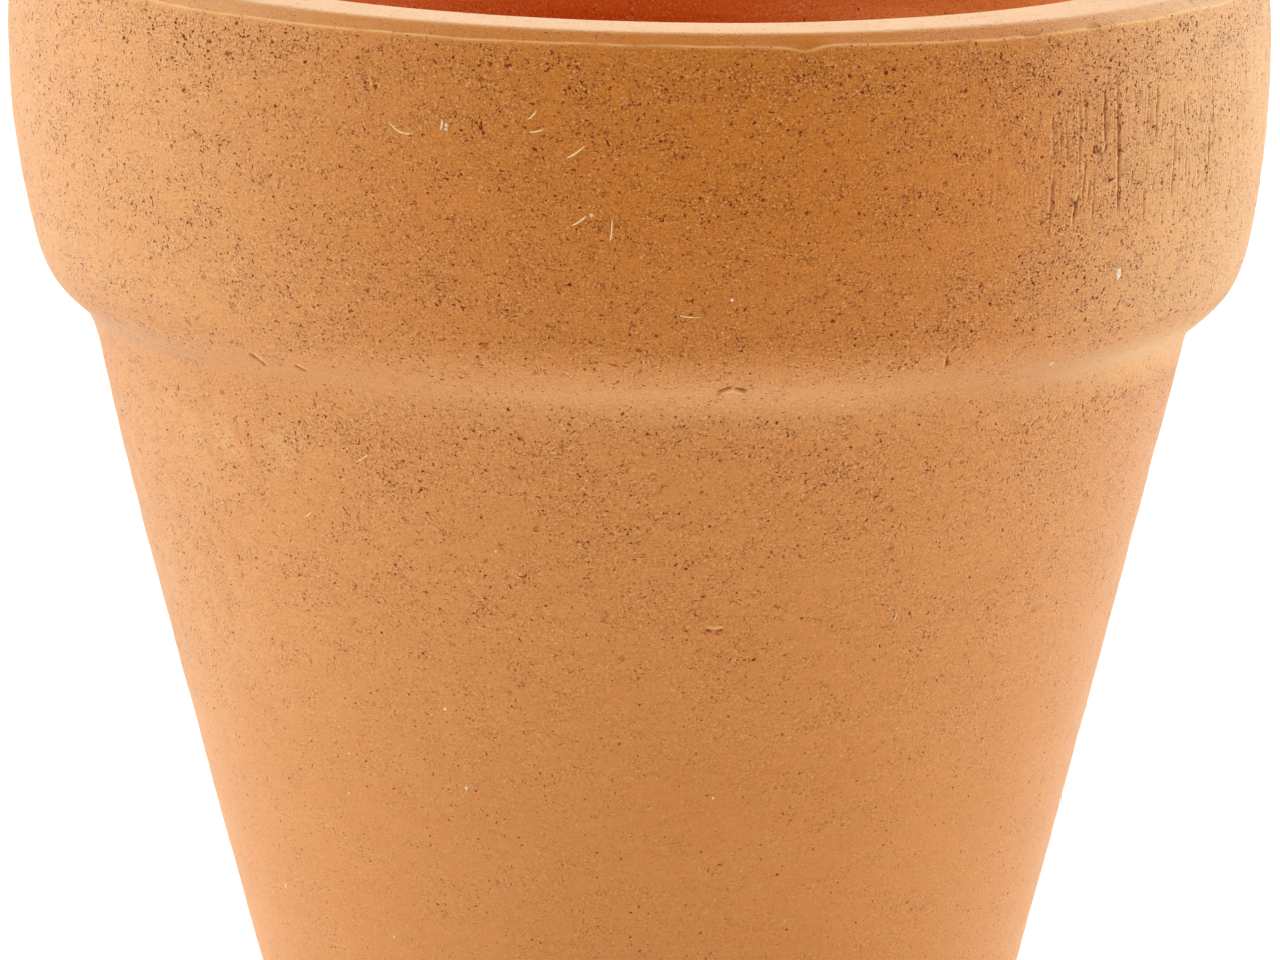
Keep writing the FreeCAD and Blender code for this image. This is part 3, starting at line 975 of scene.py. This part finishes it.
def terracotta():
    """Fired clay, with what the mesh's values say of each spot.

    It has sandy grain, mottling, wiped turning lines, combed drag marks, painted shade in its holes and
    grooves, light crumbs, painted highlights on burrs, dust, painted sheen, painted light and shade, and
    a few specks of iron.
    """
    material = bpy.data.materials.new("terracotta")
    material.use_nodes = True
    graph = Graph(material.node_tree)
    place = graph.millimetres()
    grit, groove, burr = graph.value("grit"), graph.value("groove"), graph.value("burr")
    combed, dust_and_sheen, painted_light_and_shade = graph.value("combed"), graph.value("dust_and_sheen"), graph.value("painted_light_and_shade")

    grain = graph.noise(graph.stretched(place, 0.2, 0.2, 0.18), 2.0, 0.55)
    lumps = graph.noise(graph.stretched(place, 1.3, 1.3, 1.0), 2.0, 0.5)
    mottle = graph.noise(graph.stretched(place, 11.0, 11.0, 7.0), 3.0, 0.55)
    wiping = graph.noise(graph.stretched(place, 9.0, 9.0, 0.45), 2.0, 0.5)
    combing = graph.noise(graph.stretched(place, 0.26, 0.26, 2.6), 2.0, 0.5)
    dashes = graph.noise(graph.stretched(place, 1.2, 1.2, 0.13), 1.0, 0.5)

    patches = graph.noise(graph.stretched(place, 3.2, 3.2, 1.8), 2.0, 0.6)
    bent = shaken(graph, place)
    hole = holes(graph, place, bent, grit, patches)
    crumb, crumb_luck = pits(graph, bent, 0.8, graph.times(grit, 0.24), 0.02, 0.11)
    crumb = graph.times(graph.ramp(crumb, -0.015, 0.04), graph.ramp(crumb_luck, -0.4, 1.0))

    loose = graph.times(grain, graph.add(graph.times(grit, 0.95), 0.18))
    loose = graph.times(loose, graph.ramp(patches, -0.2, 0.2, 0.6, 1.3))
    sparse = graph.times(loose, graph.math("POWER", graph.math("ABSOLUTE", grain), 0.6))
    dashed = graph.times(dashes, graph.math("POWER", graph.math("ABSOLUTE", dashes), 0.8))
    tone = graph.add(graph.times(sparse, 8.5), graph.times(lumps, 0.1))
    tone = graph.add(tone, graph.times(graph.times(dashed, grit), 2.5))
    # Painted light and shade carried by the mesh lighten or darken the clay.
    tone = graph.add(tone, painted_light_and_shade)
    tone = graph.add(tone, graph.times(mottle, 0.18))
    tone = graph.add(tone, graph.times(wiping, 0.14))
    tone = graph.add(tone, graph.times(graph.times(combing, combed), 1.2))
    darker = graph.clamped(graph.times(tone, -1.0))
    lighter = graph.clamped(graph.times(tone, 0.85))
    # Painted shade: the front and the inside darker and richer.
    colour = graph.mix(graph.value("painted_shade"), CLAY, CLAY_SHADED)
    # Painted shade: deep red inside the pot, weaker on the right where light falls.
    colour = graph.mix(graph.value("inner"), colour, INSIDE_SHADE)
    colour = graph.mix(darker, colour, CLAY_DARK)
    colour = graph.mix(lighter, colour, CLAY_LIGHT)
    # Light crumbs, and painted highlights on the burrs.
    raised = graph.larger(graph.times(crumb, 0.5), graph.times(burr, 0.8))
    colour = graph.mix(raised, colour, CRUMB_AND_HIGHLIGHT)
    # Dust, and painted sheen on the sides.
    colour = graph.mix(graph.times(dust_and_sheen, 0.4), colour, DUST_AND_SHEEN)
    iron, _ = pits(graph, bent, 3.4, 0.12, 0.12, 0.3)
    colour = graph.mix(graph.times(graph.ramp(iron, 0.0, 0.08), 0.7), colour, IRON)
    # Painted shade in the holes and grooves.
    shade = graph.larger(hole, graph.times(groove, 0.95))
    colour = graph.mix(shade, colour, PIT_SHADE)

    height = graph.times(loose, 0.11)
    height = graph.add(height, graph.times(lumps, 0.04))
    height = graph.add(height, graph.times(wiping, 0.02))
    height = graph.add(height, graph.times(graph.times(combing, combed), 0.14))
    height = graph.add(height, graph.times(crumb, 0.05))
    height = graph.less(height, graph.times(hole, 0.06))
    bumped = graph.node("ShaderNodeBump", named={
        "Strength": 1.0, "Distance": MM, "Height": height})
    roughness = graph.ramp(tone, -0.8, 0.8, 0.45, 0.65)
    roughness = graph.larger(roughness, shade)
    shader = graph.node("ShaderNodeBsdfPrincipled", named={
        "Base Color": colour, "Roughness": roughness, "Specular IOR Level": 0.5,
        "Specular Tint": (1.0, 0.72, 0.42, 1.0), "Sheen Weight": 0.33, "Sheen Roughness": 0.3,
        "Sheen Tint": (1.0, 0.88, 0.68, 1.0), "Normal": bumped.outputs[0]})
    graph.node("ShaderNodeOutputMaterial", shader.outputs[0])
    return material


def inclusion(name, dark, light, roughness):
    """Plain grainy matter for the bits in the clay."""
    material = bpy.data.materials.new(name)
    material.use_nodes = True
    graph = Graph(material.node_tree)
    place = graph.millimetres()
    grain = graph.noise(graph.stretched(place, 0.2, 0.2, 0.2), 3.0, 0.6)
    colour = graph.mix(graph.ramp(grain, -0.2, 0.2), dark, light)
    bumped = graph.node("ShaderNodeBump", named={
        "Strength": 1.0, "Distance": MM, "Height": graph.times(grain, 0.04)})
    shader = graph.node("ShaderNodeBsdfPrincipled", named={
        "Base Color": colour, "Roughness": graph.ramp(grain, -0.3, 0.3, roughness, roughness + 0.2),
        "Normal": bumped.outputs[0]})
    graph.node("ShaderNodeOutputMaterial", shader.outputs[0])
    return material


def straw():
    """Straw fired into the clay's skin."""
    return inclusion("straw", (0.80, 0.50, 0.16, 1.0), (0.96, 0.78, 0.42, 1.0), 0.5)


def lime():
    """Grains of lime in the clay."""
    return inclusion("lime", (0.72, 0.52, 0.33, 1.0), (0.92, 0.83, 0.66, 1.0), 0.7)


def main():
    """Builds the scene and says what the pot's visual stands for."""
    bpy.context.scene.view_settings.view_transform = "Standard"
    make_camera()
    make_world()
    make_floor()
    pot = make_pot()
    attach(pot, "root")
    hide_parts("pot")


main()
